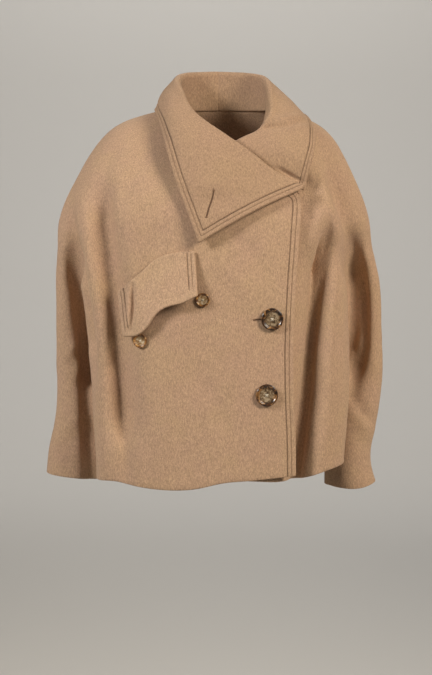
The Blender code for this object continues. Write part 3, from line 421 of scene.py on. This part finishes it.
class Skin:
    """The outer side of a piece of cloth as arrays: points in millimetres, quads, normals and edge loops."""

    def __init__(self, node):
        cloth = CLOTHS[node]
        net = outer_net(node, cloth.thickness)
        mesh = bpy.data.meshes.new(node + "_net")
        net.to_mesh(mesh)
        net.free()
        holder = bpy.data.objects.new(node + "_net", mesh)
        bpy.context.scene.collection.objects.link(holder)
        finer = holder.modifiers.new("finer", "SUBSURF")
        finer.levels = cloth.halvings
        finer.render_levels = cloth.halvings
        finer.boundary_smooth = "PRESERVE_CORNERS"
        shape = holder.evaluated_get(bpy.context.evaluated_depsgraph_get()).to_mesh()
        points = np.zeros(len(shape.vertices) * 3)
        shape.vertices.foreach_get("co", points)
        self.points = points.reshape(-1, 3) / MM
        self.faces = np.array([tuple(face.vertices) for face in shape.polygons])
        holder.to_mesh_clear()
        bpy.data.objects.remove(holder)
        self.edge = np.full(len(self.points), FAR)
        self.pull = np.ones(len(self.points))
        self.loops = self.edge_loops()
        self.neighbours = np.vstack([self.faces[:, [k, (k + 1) % 4]] for k in range(4)])
        self.smooth(SKIN_SMOOTHING)

    def edge_loops(self):
        """Vertex numbers round each open edge, running with the cloth on the left as seen from outside."""
        sides = [self.faces[:, [k, (k + 1) % 4]].tolist() for k in range(4)]
        steps = dict.fromkeys((a, b) for side in sides for a, b in side)
        after = {a: b for a, b in steps if (b, a) not in steps}
        loops = []
        while after:
            loop, here = [], next(iter(after))
            while here in after:
                loop.append(here)
                here = after.pop(here)
            loops.append(np.array(loop))
        return loops

    def normals(self):
        """The outward direction at each point."""
        corners = self.points[self.faces]
        across = np.cross(corners[:, 2] - corners[:, 0], corners[:, 3] - corners[:, 1])
        total = np.zeros_like(self.points)
        for k in range(4):
            np.add.at(total, self.faces[:, k], across)
        return unit(total)

    def smooth(self, rounds):
        """Evens the surface out. Open edges stay where they are."""
        fixed = np.zeros(len(self.points), bool)
        fixed[np.concatenate(self.loops)] = True
        a, b = self.neighbours.T
        count = np.zeros(len(self.points))
        np.add.at(count, a, 1.0)
        np.add.at(count, b, 1.0)
        for _ in range(rounds):
            total = np.zeros_like(self.points)
            np.add.at(total, a, self.points[b])
            np.add.at(total, b, self.points[a])
            moved = 0.5 * self.points + 0.5 * total / count[:, None]
            self.points = np.where(fixed[:, None], self.points, moved)

    def tree(self):
        """The surface as it is now, for casting rays at."""
        return BVHTree.FromPolygons(self.points.tolist(), self.faces.tolist())

    def sink(self, depth):
        """Moves each point in along its normal by its own depth."""
        self.points = self.points - self.normals() * depth[:, None]

    def stretch_of_edge(self, start, through, end):
        """The points of the open edge from one place to another, on the way that passes near a third."""
        loop = max(self.loops, key=len)
        line = self.points[loop]
        i, j, k = (int(np.argmin(np.linalg.norm(line - place, axis=1))) for place in (start, through, end))
        count = len(loop)
        forward = (np.arange((k - i) % count + 1) + i) % count
        backward = (i - np.arange((i - k) % count + 1)) % count
        line = line[forward if (j - i) % count <= (k - i) % count else backward]
        before = line[0] + unit(line[0] - line[END_STEPS]) * STRETCH_PAST
        past = line[-1] + unit(line[-1] - line[-1 - END_STEPS]) * STRETCH_PAST
        return np.vstack([before, line, past])


def fade_at_both_ends(along):
    """The share of its depth that a crease has along its path."""
    return np.sin(np.pi * (CREASE_END + (1 - 2 * CREASE_END) * along))


def fade_at_top(along):
    """The share of its depth that a valley has along its path."""
    return smoothstep(*VALLEY_TOP, along)


def apply_creases(skins):
    """Sinks the creases, then the valleys, all laid on the cloth as it is before the first of them."""
    trees = {node: skin.tree() for node, skin in skins.items()}
    dents = [(fade_at_both_ends, -1, *crease) for crease in CREASES]
    dents += [(fade_at_both_ends, 1, "back", *crease) for crease in BACK_CREASES]
    dents += [(fade_at_top, -1, *valley) for valley in VALLEYS]
    for fade, face, node, depth, width, path in dents:
        line, _ = laid_on(trees[node], path, face=face)
        away, along = distance_to(skins[node].points, line)
        skins[node].sink(depth * fade(along) * bell(away, width))


def cloth_ripple(points, wavelength, seed):
    """A soft uneven ripple between about -1 and 1."""
    scaled = points / wavelength + seed * SEED_STEP
    return np.array([noise.noise(Vector(p)) for p in scaled])


def apply_ripple(skins):
    """Nothing hangs perfectly smooth: a slow wave and a finer unevenness, laid over every piece."""
    for number, (node, skin) in enumerate(skins.items()):
        slow = CLOTHS[node].ripple * cloth_ripple(skin.points, SLOW_WAVELENGTH, number)
        fine = FINE_HEIGHT * cloth_ripple(skin.points, FINE_WAVELENGTH, number + FINE_SEED)
        skin.sink(-(slow + fine))


def apply_stitched_edges(skins):
    """Sinks the stitching lines beside the finished edges and keeps each point's distance to its edge."""
    for node, (nearer, *places) in STITCHED.items():
        skin = skins[node]
        away, along = distance_to(skin.points, skin.stretch_of_edge(*places))
        skin.edge = away * nearer
        if node == "pocket_flap":
            begins = smoothstep(SLACK_FROM - SLACK_FADE, SLACK_FROM, along)
            ends = smoothstep(SLACK_TO, SLACK_TO + SLACK_FADE, along)
            skin.pull = 1 - (1 - SLACK_PULL) * begins * (1 - ends)
        depth = sum(groove * bell(skin.edge - inset, width) for inset, groove, width in GROOVES)
        skin.sink(depth * skin.pull)


def seam_masks(skins):
    """For each piece, how much of each open edge is sewn to a neighbour, from 0 to 1."""
    masks = {node: np.zeros(len(skin.points)) for node, skin in skins.items()}
    rims = {node: np.concatenate(skins[node].loops) for node in PANELS}
    for node, own in rims.items():
        others = np.vstack([skins[other].points[rims[other]] for other in PANELS if other != node])
        gap = np.sqrt(((skins[node].points[own][:, None] - others[None]) ** 2).sum(2).min(1))
        masks[node][own] = 1 - smoothstep(*SEAM_GAP, gap)
    return masks


def apply_seams(skins, masks):
    """Draws the cloth in softly along the seams between the panels."""
    for node in PANELS:
        skin = skins[node]
        sewn = skin.points[masks[node] > SEWN_FROM]
        beside = KDTree(len(sewn))
        for number, point in enumerate(sewn):
            beside.insert(point, number)
        beside.balance()
        away = np.array([beside.find(point)[2] for point in skin.points])
        skin.sink(SEAM_DIP * bell(away, SEAM_DIP_WIDTH))


def sink_buttonholes(skins):
    """Draws the cloth in along each buttonhole."""
    for node, path, reach in BUTTONHOLES.values():
        skin = skins[node]
        line, _ = laid_on(skin.tree(), path, 1.0)
        away, _ = distance_to(skin.points, line)
        skin.sink(HOLE_DIP * bell(away, reach * HOLE_DIP_REACH))


def add_piece(obj, nodes):
    """Makes an object a piece of the coat, in place of the solids that it dresses."""
    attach(obj, "root")
    if nodes:
        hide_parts(*nodes)


def mesh_piece(name, points, faces, material):
    """A smooth mesh object from points in millimetres."""
    mesh = bpy.data.meshes.new(name)
    mesh.from_pydata((np.asarray(points) * MM).tolist(), [], faces)
    mesh.update()
    mesh.shade_smooth()
    mesh.materials.append(material)
    obj = bpy.data.objects.new(name, mesh)
    bpy.context.scene.collection.objects.link(obj)
    return obj


def set_attribute(obj, name, values):
    """Keeps a number at each point of a mesh, for its material."""
    obj.data.attributes.new(name, "FLOAT", "POINT").data.foreach_set("value", values)


def quads(*corners):
    """Faces from rows of vertex numbers, a row for each of their corners."""
    return list(zip(*(row.tolist() for row in corners)))


def band(above, below):
    """Quads between two closed rings of vertex numbers."""
    return quads(above, below, np.roll(below, -1), np.roll(above, -1))


def rim_rings(points, normals, loop, half, sewn):
    """The rounded rim of one open edge, from the outer side to the inner one. It is flat where it is sewn."""
    run = unit(np.roll(points[loop], -1, axis=0) - np.roll(points[loop], 1, axis=0))
    out = unit(np.cross(run, normals[loop]))
    bulge = (EDGE_BULGE * (1 - sewn[loop]))[:, None]
    middle = points[loop] - normals[loop] * half
    rings = []
    for step in range(1, RIM_STEPS):
        angle = math.pi * step / RIM_STEPS
        rings.append(middle + normals[loop] * half * math.cos(angle) + out * half * bulge * math.sin(angle))
    return rings


def thicken(node, skin, sewn, material):
    """A closed shell: the skin, an inner side below it and a rounded rim round every open edge."""
    points, normals, thickness = skin.points, skin.normals(), CLOTHS[node].thickness
    count = len(points)
    parts = [points, points - normals * thickness]
    faces = [tuple(face) for face in skin.faces.tolist()]
    faces += [(d + count, c + count, b + count, a + count) for a, b, c, d in skin.faces.tolist()]
    total = 2 * count
    for loop in skin.loops:
        above = loop
        for ring in rim_rings(points, normals, loop, thickness / 2, sewn):
            parts.append(ring)
            below = np.arange(total, total + len(loop))
            total += len(loop)
            faces += band(above, below)
            above = below
        faces += band(above, loop + count)
    obj = mesh_piece(node + "_cloth", np.vstack(parts), faces, material)
    rim = np.zeros(total - 2 * count)
    set_attribute(obj, "edge_mm", np.concatenate([skin.edge, np.full(count, FAR), rim]))
    set_attribute(obj, "pull", np.concatenate([skin.pull, np.zeros(count), rim]))
    return obj


class Shading:
    """A new material with a short way to add and link its nodes."""

    def __init__(self, name):
        self.material = bpy.data.materials.new(name)
        self.material.use_nodes = True
        self.tree = self.material.node_tree
        self.surface = self.tree.nodes["Principled BSDF"]

    def fill(self, node, inputs):
        """Sets a node's inputs: a socket is linked to them, and anything else is set on them."""
        for name, value in inputs.items():
            if isinstance(value, bpy.types.NodeSocket):
                self.tree.links.new(value, node.inputs[name])
            else:
                node.inputs[name].default_value = value

    def node(self, kind, inputs, **settings):
        """A new node of a kind, set up in one call."""
        made = self.tree.nodes.new("ShaderNode" + kind)
        for name, value in settings.items():
            setattr(made, name, value)
        self.fill(made, inputs)
        return made

    def place(self):
        """Where a point is on the object, in metres."""
        return self.node("TexCoord", {}).outputs["Object"]

    def attribute(self, name):
        """A number kept at each point of the mesh."""
        return self.node("Attribute", {}, attribute_name=name).outputs["Fac"]

    def clouds(self, place, scale, **inputs):
        """A cloudy pattern, finer as its scale goes up."""
        inputs = {name.capitalize(): value for name, value in inputs.items()}
        return self.node("TexNoise", {"Vector": place, "Scale": scale, **inputs}).outputs["Fac"]

    def arithmetic(self, kind, *values):
        """One step of arithmetic on numbers or sockets."""
        return self.node("Math", dict(enumerate(values)), operation=kind).outputs[0]

    def ranged(self, value, from_min, from_max, to_min=0.0, to_max=1.0, curve="LINEAR"):
        """A value carried from one range into another, and kept inside it."""
        inputs = {"Value": value, "From Min": from_min, "From Max": from_max}
        inputs.update({"To Min": to_min, "To Max": to_max})
        return self.node("MapRange", inputs, interpolation_type=curve).outputs["Result"]

    def blend(self, factor, a, b):
        """One colour turning into another."""
        return self.node("Mix", {"Factor": factor, "A": a, "B": b}, data_type="RGBA").outputs["Result"]

    def ramp(self, factor, stops):
        """Colours at stops along a factor."""
        made = self.node("ValToRGB", {"Fac": factor})
        elements = made.color_ramp.elements
        while len(elements) < len(stops):
            elements.new(0.5)
        for element, (stop, colour) in zip(elements, stops):
            element.position = stop
            element.color = (*colour, 1)
        return made.outputs["Color"]

    def bump(self, height, strength, distance, below=None, invert=False):
        """Fine relief, on top of other relief where there is some below it."""
        inputs = {"Height": height, "Strength": strength, "Distance": distance}
        if below is not None:
            inputs["Normal"] = below
        return self.node("Bump", inputs, invert=invert).outputs["Normal"]


def groove_amount(shading):
    """How strongly the stitching draws the cloth in, from the distance to the stitched edge."""
    edge = shading.attribute("edge_mm")
    rows = []
    for inset, depth, width in GROOVES:
        away = shading.arithmetic("ABSOLUTE", shading.arithmetic("SUBTRACT", edge, inset))
        rows.append(shading.ranged(away, 0.0, width, depth, 0.0, curve="SMOOTHSTEP"))
    return shading.arithmetic("MULTIPLY", shading.arithmetic("ADD", *rows), shading.attribute("pull"))


def wool(name, base, patch):
    """Felted wool: faint patches, a fine speckle of fibres, a soft raised nap and painted shade along the
    stitching grooves.
    """
    shading = Shading(name)
    place = shading.place()
    patches = shading.ranged(shading.clouds(place, 16.0, detail=4.0, roughness=0.6), 0.35, 0.65)
    ground = shading.blend(patches, (*base, 1), (*patch, 1))
    grain = shading.clouds(place, 600.0, detail=3.0, roughness=0.8)
    hanging = shading.node("Mapping", {"Vector": place, "Scale": (560.0, 560.0, 210.0)}).outputs["Vector"]
    fibre = shading.arithmetic("ADD", grain, shading.clouds(hanging, 1.0, detail=3.0))
    speck = shading.ranged(fibre, 0.62, 1.38, 0.60, 1.36)
    groove = groove_amount(shading)
    # Painted shade: the colour is darkened along the stitching grooves
    groove_painted_shade = shading.arithmetic("MULTIPLY_ADD", groove, -GROOVE_SHADE, 1.0)
    value = shading.arithmetic("MULTIPLY", speck, groove_painted_shade)
    colour = shading.node("VectorMath", {0: ground, "Scale": value}, operation="SCALE").outputs["Vector"]
    felt = shading.clouds(place, 110.0, detail=4.0, roughness=0.6)
    relief = shading.bump(groove, 0.8, 0.0010, invert=True)
    relief = shading.bump(felt, 0.35, 0.0012, relief)
    relief = shading.bump(fibre, 0.75, 0.0008, relief)
    shading.fill(shading.surface, {
        "Base Color": colour,
        "Normal": relief,
        "Roughness": 0.95,
        "Specular IOR Level": 0.15,
        "Sheen Weight": 0.16,
        "Sheen Roughness": 0.45,
        "Sheen Tint": (1.0, 0.88, 0.76, 1),
    })
    return shading.material


def spun(name):
    """Twisted sewing thread, a little uneven in colour. The painted shadow in a slit is made the same way."""
    bright, dark = THREADS[name]
    shading = Shading(name)
    twist = shading.clouds(shading.place(), 900.0, detail=2.0)
    shading.fill(shading.surface, {
        "Base Color": shading.blend(twist, (*dark, 1), (*bright, 1)),
        "Normal": shading.bump(twist, 0.4, 0.0002),
        "Roughness": 0.75,
    })
    return shading.material


def horn(name):
    """Polished horn: a marbled rim with amber streaks round a paler, clouded middle."""
    middle, rim = HORNS[name]
    shading = Shading(name)
    place = shading.place()
    pale = shading.ramp(shading.clouds(place, 150.0, detail=4.0, distortion=1.2), middle)
    deep = shading.ramp(shading.clouds(place, 75.0, detail=3.0, distortion=2.4), rim)
    outwards = shading.ranged(shading.attribute("radius_share"), 0.56, 0.72)
    shading.fill(shading.surface, {
        "Base Color": shading.blend(outwards, pale, deep),
        "Roughness": 0.30,
        "IOR": 1.5,
        "Coat Weight": 0.35,
        "Coat Roughness": 0.08,
    })
    return shading.material


def paper():
    """The plain pale floor and backdrop."""
    shading = Shading("backdrop_paper")
    shading.fill(shading.surface, {"Base Color": PAPER_COLOUR, "Roughness": 0.9, "Specular IOR Level": 0.1})
    return shading.material


def tubes(centres, along, up, path, radius, sides=THREAD_SIDES):
    """Many short threads of one shape, each a tube round a path given as places along and up."""
    across = unit(np.cross(along, up))
    steps = np.array(path, float)
    slopes = unit(np.gradient(steps, axis=0))
    rings = []
    for (run, height), (forward, climb) in zip(steps, slopes):
        middle = centres + along * run + up * height
        lift = up * forward - along * climb
        for k in range(sides):
            angle = 2 * math.pi * k / sides
            rings.append(middle + radius * (across * math.cos(angle) + lift * math.sin(angle)))
    points = np.array(rings).transpose(1, 0, 2).reshape(-1, 3)
    each, last = len(steps) * sides, (len(steps) - 1) * sides
    one = [tuple(range(sides)), tuple(range(last, last + sides))[::-1]]
    for ring in range(len(steps) - 1):
        for k in range(sides):
            a, b = ring * sides + k, ring * sides + (k + 1) % sides
            one.append((a, a + sides, b + sides, b))
    faces = [tuple(v + each * n for v in face) for n in range(len(centres)) for face in one]
    return points, faces


def joined(parts):
    """Several lots of points and faces as one."""
    points, faces, count = [], [], 0
    for some_points, some_faces in parts:
        points.append(some_points)
        faces += [tuple(v + count for v in face) for face in some_faces]
        count += len(some_points)
    return np.vstack(points), faces


def chained(links):
    """Lines of places, from a table of the one or two places beside each."""
    lines = []
    while links:
        here = next((key for key, beside in links.items() if len(beside) == 1), next(iter(links)))
        run = []
        while here is not None:
            run.append(here)
            here = next((key for key in links.pop(here) if key in links), None)
        lines.append(run)
    return lines


def level_lines(skin, level):
    """The lines on a skin at one distance from its stitched edge: points, normals and pull along each."""
    values = skin.edge - level
    values_at = np.column_stack([skin.points, skin.normals(), skin.pull])
    triangles = np.vstack([skin.faces[:, [0, 1, 2]], skin.faces[:, [0, 2, 3]]])
    crossed = (values[triangles].min(1) < 0) & (values[triangles].max(1) >= 0)
    places, links = {}, {}
    for triangle in triangles[crossed].tolist():
        ends = []
        for a, b in zip(triangle, triangle[1:] + triangle[:1]):
            if (values[a] < 0) != (values[b] < 0):
                low, high = min(a, b), max(a, b)
                share = values[low] / (values[low] - values[high])
                places[(low, high)] = values_at[low] * (1 - share) + values_at[high] * share
                ends.append((low, high))
        links.setdefault(ends[0], []).append(ends[1])
        links.setdefault(ends[1], []).append(ends[0])
    return [np.array([places[key] for key in run]) for run in chained(links) if len(run) >= SHORTEST_LINE]


def stitch_places(line, pitch):
    """Evenly spaced stitches along a line, where it pulls: centres, directions and normals."""
    normals = line[:, 3:6]
    points = evened(line[:, :3].copy(), LINE_SMOOTHING)
    along = distance_along(points)
    places = np.arange(pitch, along[-1] - pitch / 2, pitch)

    def at(values, where):
        return np.column_stack([np.interp(where, along, values[:, k]) for k in range(3)])

    outward = unit(at(normals, places))
    ahead = at(points, places + pitch / 2) - at(points, places - pitch / 2)
    ahead = unit(ahead - outward * (ahead * outward).sum(1, keepdims=True))
    sewn = np.interp(places, along, line[:, 6]) > SEWN_PULL
    return at(points, places)[sewn], ahead[sewn], outward[sewn]


def make_topstitching(skins, thread):
    """Two rows of stitches beside each stitched edge."""
    for node in STITCHED:
        rows = []
        for inset, _, _ in GROOVES:
            for line in level_lines(skins[node], inset):
                centres, ahead, outward = stitch_places(line, STITCH_PITCH)
                if len(centres) >= FEWEST_STITCHES:
                    rows.append(tubes(centres, ahead, outward, STITCH_PATH, STITCH_RADIUS))
        obj = mesh_piece(node + "_topstitching", *joined(rows), thread)
        add_piece(obj, [])


def make_buttonholes(skins, thread, shadow):
    """A near-black tube of painted shadow in the slit, with thread wound over both its sides and a bar of
    thread across each end.
    """
    for name, (node, path, reach) in BUTTONHOLES.items():
        line, normals = laid_on(skins[node].tree(), path, HOLE_PITCH)
        ahead = unit(np.gradient(line, axis=0))
        outward = unit(normals)
        across = unit(np.cross(ahead, outward))
        wound = ((-reach, -0.5), (-reach * 0.6, 0.3), (-0.55, 0.45), (-0.3, -0.3))
        rows = []
        for side in (-across, across):
            rows.append(tubes(line, side, outward, wound, HOLE_THREAD, HOLE_THREAD_SIDES))
        bar = ((-reach, -0.5), (-reach * 0.7, 0.6), (0.0, 0.8), (reach * 0.7, 0.6), (reach, -0.5))
        for end, inward in ((0, 1), (-1, -1)):
            places = line[end] + ahead[end] * inward * np.arange(BAR_THREADS)[:, None] * BAR_PITCH
            turned = np.tile(across[end], (BAR_THREADS, 1))
            raised = np.tile(outward[end], (BAR_THREADS, 1))
            rows.append(tubes(places, turned, raised, bar, HOLE_THREAD, HOLE_THREAD_SIDES))
        add_piece(mesh_piece(name, *joined(rows), thread), [])
        # The slit itself: a near-black tube of painted shadow
        slit = tubes(line, ahead, outward, ((-HOLE_PITCH * 0.6, 0.0), (HOLE_PITCH * 0.6, 0.0)), SLIT_SHADOW_RADIUS)
        add_piece(mesh_piece(name + "_slit_painted_shadow", *slit, shadow), [])


def seat_of(node):
    """A button solid's radius, the middle of its back, and its directions out, across and up."""
    points = np.array([tuple(vert.co) for vert in frame["nodes"][node].data.vertices]) / MM
    centre = points.mean(0)
    axis = np.linalg.svd(points - centre)[2][2]
    axis *= -np.sign(axis[1])
    heights = (points - centre) @ axis
    radius = np.linalg.norm(points - centre - np.outer(heights, axis), axis=1).max()
    across = unit(np.cross((0.0, 0.0, 1.0), axis))
    return ButtonSeat(radius, centre + axis * heights.min(), axis, across, np.cross(axis, across))


def turned_button(seat):
    """A disc with a raised rim and four holes: points, faces, and how far out on the face each point is."""
    outline = resampled([(r, h, 0.0) for r, h in BUTTON_OUTLINE], 1.0 / BUTTON_RINGS)[:, :2]
    outline = evened(outline, BUTTON_SMOOTHING)
    rings = outline[1:-1]
    angle = 2 * math.pi * np.arange(BUTTON_SIDES) / BUTTON_SIDES
    right = rings[:, :1] * np.cos(angle)
    high = rings[:, :1] * np.sin(angle)
    out = np.repeat(rings[:, 1:], BUTTON_SIDES, axis=1)
    face = np.arange(len(rings))[:, None] > len(rings) / 2
    for turn in DIAGONALS:
        away = np.hypot(right - HOLE_OFFSET * math.cos(turn), high - HOLE_OFFSET * math.sin(turn))
        out = out - face * HOLE_DEPTH * (1 - smoothstep(HOLE_RADIUS * 0.7, HOLE_RADIUS * 1.15, away))
    shape = right[..., None] * seat.across + high[..., None] * seat.upward + out[..., None] * seat.axis
    ends = outline[[0, -1], 1:] * seat.axis
    points = seat.base + seat.radius * np.vstack([shape.reshape(-1, 3), ends])
    outness = np.where(face, rings[:, :1], 1.0).repeat(BUTTON_SIDES)
    share = np.concatenate([outness, [1.0, 0.0]])
    numbers = np.arange(len(rings) * BUTTON_SIDES).reshape(-1, BUTTON_SIDES)
    faces = []
    for ring, following in zip(numbers, numbers[1:]):
        faces += quads(ring, np.roll(ring, -1), np.roll(following, -1), following)
    back_middle, face_middle = len(points) - 2, len(points) - 1
    for k in range(BUTTON_SIDES):
        ahead = (k + 1) % BUTTON_SIDES
        faces.append((back_middle, ahead, k))
        faces.append((face_middle, int(numbers[-1][k]), int(numbers[-1][ahead])))
    return points, faces, share


def button_threads(seat):
    """The cross of thread through the four holes, and the shank that holds the button to the cloth."""
    face_middle = seat.base + seat.axis * seat.radius * BUTTON_OUTLINE[-1][1]
    reach = HOLE_OFFSET * seat.radius
    path = ((-reach, -1.2), (-reach * 0.85, 0.1), (0.0, 0.55), (reach * 0.85, 0.1), (reach, -1.2))
    beside_each_other = np.array([[-STRAND_GAP], [0.0], [STRAND_GAP]])
    strands = []
    for turn, lift in zip(DIAGONALS, (0.0, CROSS_LIFT)):
        ahead = seat.across * math.cos(turn) + seat.upward * math.sin(turn)
        places = face_middle + seat.axis * lift + np.cross(ahead, seat.axis) * beside_each_other * seat.radius
        many = np.ones((len(places), 1))
        strands.append(tubes(places, ahead * many, seat.axis * many, path, seat.radius * STRAND_RADIUS))
    sides = np.array(SHANK_SIDES)
    places = seat.base + (sides[:, :1] * seat.across + sides[:, 1:] * seat.upward) * SHANK_OFFSET
    many = np.ones((len(places), 1))
    strands.append(tubes(places, seat.axis * many, seat.across * many, SHANK_PATH, SHANK_RADIUS))
    return joined(strands)


def make_button(node, material, thread):
    """A turned horn button, sewn on with thread."""
    seat = seat_of(node)
    points, faces, share = turned_button(seat)
    button = mesh_piece(node + "_turned", points, faces, material)
    set_attribute(button, "radius_share", share)
    add_piece(button, [node])
    add_piece(mesh_piece(node + "_thread", *button_threads(seat), thread), [])


def make_cloths():
    """Every piece of cloth, from its finer skin to its finished shell. Returns the skins."""
    skins = {node: Skin(node) for node in CLOTHS}
    masks = seam_masks(skins)
    apply_creases(skins)
    apply_ripple(skins)
    apply_seams(skins, masks)
    apply_stitched_edges(skins)
    sink_buttonholes(skins)
    materials = {slot: wool(*colours) for slot, colours in WOOLS.items()}
    for node, skin in skins.items():
        cloth = CLOTHS[node]
        obj = thicken(node, skin, masks[node], materials[cloth.slot])
        add_piece(obj, [node])
    return skins


def aim_at(obj, place, aim):
    """Puts a camera or light in its place, in metres, and turns it towards its aim."""
    obj.location = place
    obj.rotation_mode = "QUATERNION"
    obj.rotation_quaternion = (Vector(aim) - Vector(place)).to_track_quat("-Z", "Y")


def make_camera():
    """The camera at the photograph's viewing angle."""
    data = bpy.data.cameras.new("camera")
    data.sensor_width = SENSOR
    data.lens = CAMERA_FOCAL_PIXELS / PHOTO_HEIGHT * SENSOR
    data.clip_end = CLIP_END_M
    camera = bpy.data.objects.new("camera", data)
    bpy.context.scene.collection.objects.link(camera)
    aim_at(camera, Vector(CAMERA_PLACE) * MM, Vector(CAMERA_AIM) * MM)
    bpy.context.scene.camera = camera


def make_lights():
    """A faint even light from all round, and four soft square ones."""
    world = bpy.data.worlds.new("studio_air")
    world.use_nodes = True
    air = world.node_tree.nodes["Background"]
    air.inputs["Color"].default_value = AIR_COLOUR
    air.inputs["Strength"].default_value = AIR_STRENGTH
    bpy.context.scene.world = world
    for name, (place, aim, size, power, colour, spread) in LIGHTS.items():
        data = bpy.data.lights.new(name, "AREA")
        data.shape = "SQUARE"
        data.size = size
        data.energy = power
        data.color = colour
        data.spread = math.radians(spread)
        light = bpy.data.objects.new(name, data)
        bpy.context.scene.collection.objects.link(light)
        aim_at(light, place, aim)


def make_studio():
    """A plain pale floor that sweeps up into a round backdrop."""
    profile = [(STUDIO_RADIUS - STUDIO_SWEEP, FLOOR_HEIGHT)]
    for step in range(1, SWEEP_STEPS + 1):
        angle = math.pi / 2 * step / SWEEP_STEPS
        radius = STUDIO_RADIUS - STUDIO_SWEEP * (1 - math.sin(angle))
        profile.append((radius, FLOOR_HEIGHT + STUDIO_SWEEP * (1 - math.cos(angle))))
    profile.append((STUDIO_RADIUS, FLOOR_HEIGHT + STUDIO_HEIGHT))
    turns = [2 * math.pi * k / STUDIO_SIDES for k in range(STUDIO_SIDES)]
    points = [(0, 0, FLOOR_HEIGHT)]
    for radius, height in profile:
        points += [(radius * math.cos(turn), radius * math.sin(turn), height) for turn in turns]
    rings = np.arange(1, len(points)).reshape(-1, STUDIO_SIDES)
    faces = [(0, a, b) for a, b in zip(rings[0].tolist(), np.roll(rings[0], -1).tolist())]
    for low, high in zip(rings, rings[1:]):
        faces += band(low, high)
    mesh_piece("studio", np.array(points) / MM, faces, paper())


bpy.context.scene.view_settings.view_transform = "Standard"
for old in list(bpy.data.objects):
    bpy.data.objects.remove(old)
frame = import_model()
make_camera()
make_studio()
make_lights()
cloths = make_cloths()
threads = {name: spun(name) for name in THREADS}
make_topstitching(cloths, threads["camel_thread"])
make_buttonholes(cloths, threads["brown_thread"], threads["slit_shadow"])
horns = {name: horn(name) for name in HORNS}
for button, horn_name in BUTTON_HORNS.items():
    make_button(button, horns[horn_name], threads["button_thread"])
